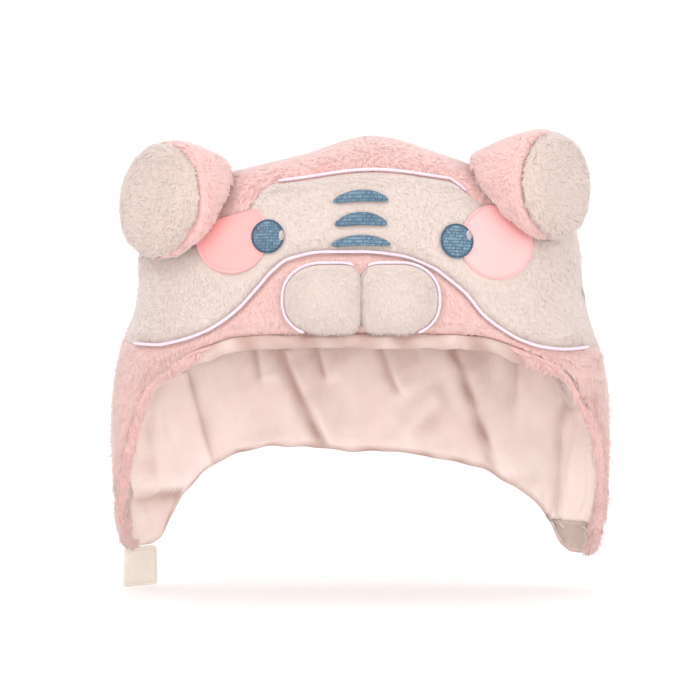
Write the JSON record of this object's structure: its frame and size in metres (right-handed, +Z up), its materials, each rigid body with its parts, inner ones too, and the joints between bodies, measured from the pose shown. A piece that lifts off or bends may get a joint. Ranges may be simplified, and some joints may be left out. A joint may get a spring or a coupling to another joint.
{
  "type": "plush animal hat with ear flaps",
  "caption": "Pink and cream plush tiger cap for a child, with round ears, an embroidered face, ear flaps and a gathered lining.",
  "frame": {"origin": "top of the lining's inside, where the cap sits on the crown of a head", "axes": "+Z up, the face looks along -Y, +X to the viewer's right when facing the face"},
  "size_m": [0.2613, 0.1301, 0.2373],
  "materials": {
    "pink_plush": "short-pile polyester plush, matt, soft pink",
    "cream_plush": "short-pile polyester plush, matt, warm cream",
    "lining": "thin ribbed knit lining, matt, pale peach",
    "piping": "satin piping cord, slight sheen, white with a lilac cast",
    "satin": "smooth short velour applique, bright pink",
    "blue_thread": "satin-stitch embroidery thread, slight sheen, slate blue",
    "tape": "woven hook-and-loop tape, matt cream",
    "loop_pile": "brushed loop fastener, matt, greyish pink"
  },
  "bodies": {
    "root": {"crown_panel": "pink_plush", "face_panel": "cream_plush", "muzzle_band": "pink_plush", "back_panel": "pink_plush", "lining": "lining", "crown_piping": "piping", "face_piping": "piping", "stripe_1": "blue_thread", "stripe_2": "blue_thread", "stripe_3": "blue_thread", "muzzle_left": "cream_plush", "muzzle_piping_left": "piping", "cheek_left": "satin", "eye_left": "blue_thread", "ear_back_left": "pink_plush", "ear_cup_left": "cream_plush", "muzzle_right": "cream_plush", "muzzle_piping_right": "piping", "cheek_right": "satin", "eye_right": "blue_thread", "ear_back_right": "pink_plush", "ear_cup_right": "cream_plush", "strap_tab": "tape", "fastener_patch": "loop_pile"}
  },
  "joints": []
}
